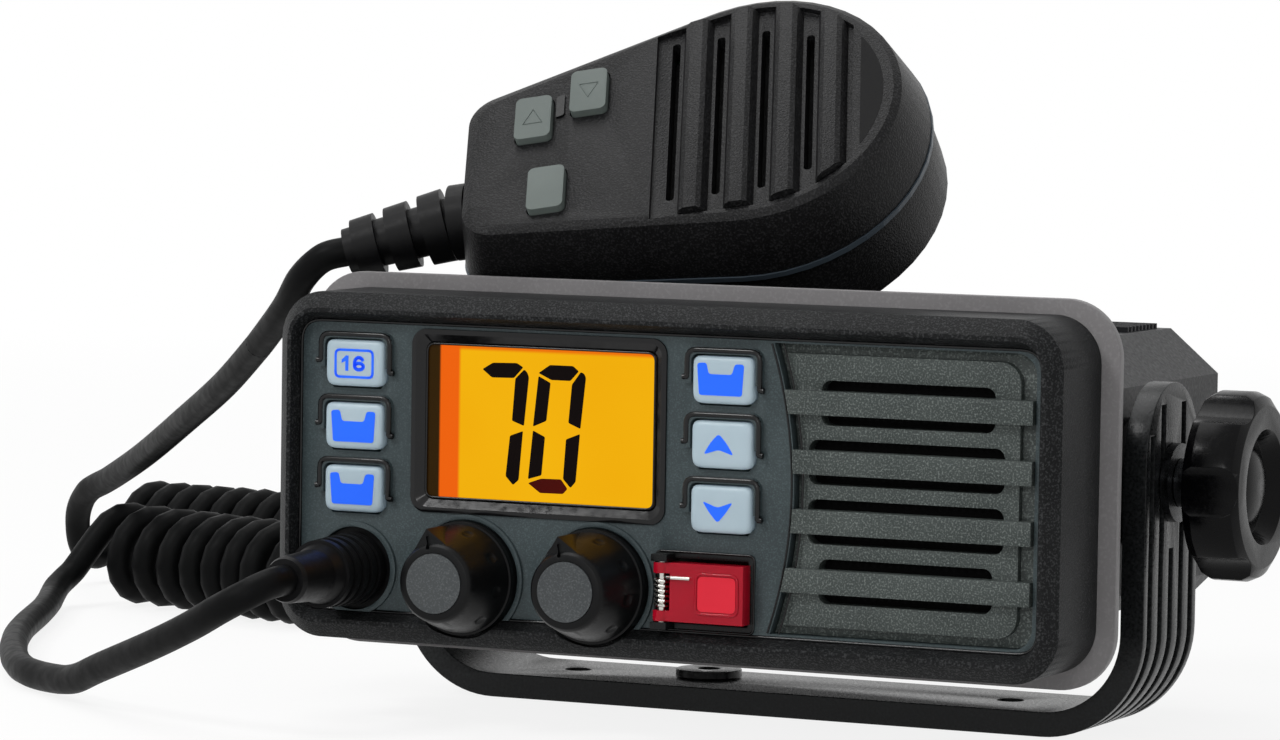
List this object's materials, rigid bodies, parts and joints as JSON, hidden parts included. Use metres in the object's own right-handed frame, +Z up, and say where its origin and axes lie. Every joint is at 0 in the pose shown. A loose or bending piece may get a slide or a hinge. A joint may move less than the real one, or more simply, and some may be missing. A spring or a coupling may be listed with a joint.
{
  "type": "vhf marine radio",
  "caption": "Fixed-mount marine VHF radio in a tilting bracket, with a fist microphone resting on top and its curly cord beside it.",
  "frame": {"origin": "middle of the bracket's base between its two screw holes, on the surface that the base stands on", "axes": "+Z up, -Y out of the face, +X across to the speaker side"},
  "size_m": [0.3326, 0.262, 0.1379],
  "materials": {
    "black_panel": "satin moulded",
    "plate_grey": "satin moulded",
    "grille_grey": "fine grain",
    "mesh_black": "woven dust cloth",
    "gasket_grey": "matte",
    "surround_black": "gloss",
    "lens_clear": "clear window over a lit display",
    "lcd_amber": "lit amber film",
    "backlight_white": "diffuser",
    "key_pale": "translucent silicone",
    "knob_black": "soft satin",
    "cap_grey": "satin",
    "steel": "plated",
    "chrome_pin": "polished",
    "cover_red": "translucent red moulding",
    "button_red": "gloss",
    "body_black": "fine grain",
    "board_green": "solder mask",
    "brass_insert": "turned",
    "pad_rubber": "matte",
    "bracket_black": "satin moulded",
    "clamp_black": "gloss moulded",
    "mic_black": "grained",
    "mic_key_grey": "satin rubber",
    "seal_blue": "matte",
    "cord_black": "satin jacket"
  },
  "bodies": {
    "bracket": {"bracket": "bracket_black", "clamp_washers": "steel", "cord_lead": "cord_black", "cord_coil": "cord_black", "cord_tail": "cord_black"},
    "radio": {"front_panel": "black_panel", "face_plate": "plate_grey", "speaker_grille": "grille_grey", "speaker_mesh": "mesh_black", "speaker": "mesh_black", "gasket": "gasket_grey", "display_surround": "surround_black", "display_lens": "lens_clear", "lcd_panel": "lcd_amber", "lcd_backlight": "backlight_white", "squelch_pot": "steel", "volume_pot": "steel", "distress_tray": "black_panel", "distress_pin": "chrome_pin", "distress_spring": "chrome_pin", "chassis": "body_black", "panel_board": "board_green", "main_board": "board_green", "antenna_socket": "steel", "power_gland": "pad_rubber", "panel_screws": "steel", "thread_inserts": "brass_insert", "friction_pads": "pad_rubber", "cord_gland": "cord_black"},
    "squelch_control": {"squelch_knob": "knob_black", "squelch_cap": "cap_grey", "squelch_shaft": "steel"},
    "volume_control": {"volume_knob": "knob_black", "volume_cap": "cap_grey", "volume_shaft": "steel"},
    "cover": {"distress_cover": "cover_red"},
    "distress_key": {"distress_button": "button_red"},
    "clamp_left": {"clamp_knob_left": "clamp_black", "clamp_stud_left": "steel"},
    "clamp_right": {"clamp_knob_right": "clamp_black", "clamp_stud_right": "steel"},
    "mic": {"mic_front_shell": "mic_black", "mic_rear_shell": "mic_black", "mic_seal": "seal_blue", "mic_board": "board_green", "mic_capsule": "steel", "mic_screws": "steel", "mic_button": "mic_black", "mic_relief": "cord_black"},
    "talk_lever": {"mic_ptt": "mic_black"},
    "mic_up": {"mic_key_up": "mic_key_grey"},
    "mic_down": {"mic_key_down": "mic_key_grey"},
    "mic_power": {"mic_key_power": "mic_key_grey"},
    "btn_16": {"key_16": "key_pale"},
    "btn_channel": {"key_channel": "key_pale"},
    "btn_call": {"key_call": "key_pale"},
    "btn_scan": {"key_scan": "key_pale"},
    "btn_up": {"key_up": "key_pale"},
    "btn_down": {"key_down": "key_pale"}
  },
  "joints": [
    {"name": "tilt", "type": "hinge", "parent": "bracket", "child": "radio", "pos_m": [0, 0, 0.0482], "axis": [1, 0, 0], "range_deg": [-25, 14], "deforming": ["cord_lead", "cord_tail"]},
    {"name": "clamp_turn_left", "type": "hinge", "parent": "radio", "child": "clamp_left", "pos_m": [-0.09, 0, 0.0482], "axis": [1, 0, 0], "continuous": true},
    {"name": "clamp_turn_right", "type": "hinge", "parent": "radio", "child": "clamp_right", "pos_m": [0.09, 0, 0.0482], "axis": [1, 0, 0], "continuous": true},
    {"name": "squelch_turn", "type": "hinge", "parent": "radio", "child": "squelch_control", "pos_m": [-0.0396, -0.07, 0.0288], "axis": [0, 1, 0], "range_deg": [-140, 140]},
    {"name": "volume_turn", "type": "hinge", "parent": "radio", "child": "volume_control", "pos_m": [-0.0125, -0.07, 0.0288], "axis": [0, 1, 0], "range_deg": [-140, 140]},
    {"name": "press_16", "type": "slide", "parent": "radio", "child": "btn_16", "axis": [0, 1, 0], "range_m": [0, 0.0008], "stiffness_N_per_m": 800, "springref_m": -0.0005},
    {"name": "press_channel", "type": "slide", "parent": "radio", "child": "btn_channel", "axis": [0, 1, 0], "range_m": [0, 0.0008], "stiffness_N_per_m": 800, "springref_m": -0.0005},
    {"name": "press_call", "type": "slide", "parent": "radio", "child": "btn_call", "axis": [0, 1, 0], "range_m": [0, 0.0008], "stiffness_N_per_m": 800, "springref_m": -0.0005},
    {"name": "press_scan", "type": "slide", "parent": "radio", "child": "btn_scan", "axis": [0, 1, 0], "range_m": [0, 0.0008], "stiffness_N_per_m": 800, "springref_m": -0.0005},
    {"name": "press_up", "type": "slide", "parent": "radio", "child": "btn_up", "axis": [0, 1, 0], "range_m": [0, 0.0008], "stiffness_N_per_m": 800, "springref_m": -0.0005},
    {"name": "press_down", "type": "slide", "parent": "radio", "child": "btn_down", "axis": [0, 1, 0], "range_m": [0, 0.0008], "stiffness_N_per_m": 800, "springref_m": -0.0005},
    {"name": "cover_open", "type": "hinge", "parent": "radio", "child": "cover", "pos_m": [0.0019, -0.0649, 0.02885], "axis": [0, 0, -1], "range_deg": [0, 110], "stiffness_Nm_per_rad": 0.002, "springref_deg": -17.19, "deforming": ["distress_spring"]},
    {"name": "press_distress", "type": "slide", "parent": "radio", "child": "distress_key", "axis": [0, 1, 0], "range_m": [0, 0.0008], "stiffness_N_per_m": 900, "springref_m": -0.0005},
    {"name": "mic_lift", "type": "slide", "parent": "radio", "child": "mic", "axis": [0, 0, 1], "range_m": [0, 0.06], "deforming": ["cord_tail"]},
    {"name": "talk", "type": "hinge", "parent": "mic", "child": "talk_lever", "pos_m": [-0.03049, 0.00825, 0.12159], "axis": [-0.0565, 0.7141, -0.6978], "range_deg": [0, 3], "stiffness_Nm_per_rad": 0.5, "springref_deg": -1.15},
    {"name": "press_mic_up", "type": "slide", "parent": "mic", "child": "mic_up", "axis": [-0.0565, 0.7141, -0.6978], "range_m": [0, 0.0008], "stiffness_N_per_m": 700, "springref_m": -0.0005},
    {"name": "press_mic_down", "type": "slide", "parent": "mic", "child": "mic_down", "axis": [-0.0565, 0.7141, -0.6978], "range_m": [0, 0.0008], "stiffness_N_per_m": 700, "springref_m": -0.0005},
    {"name": "press_mic_power", "type": "slide", "parent": "mic", "child": "mic_power", "axis": [-0.0565, 0.7141, -0.6978], "range_m": [0, 0.0008], "stiffness_N_per_m": 700, "springref_m": -0.0005}
  ]
}
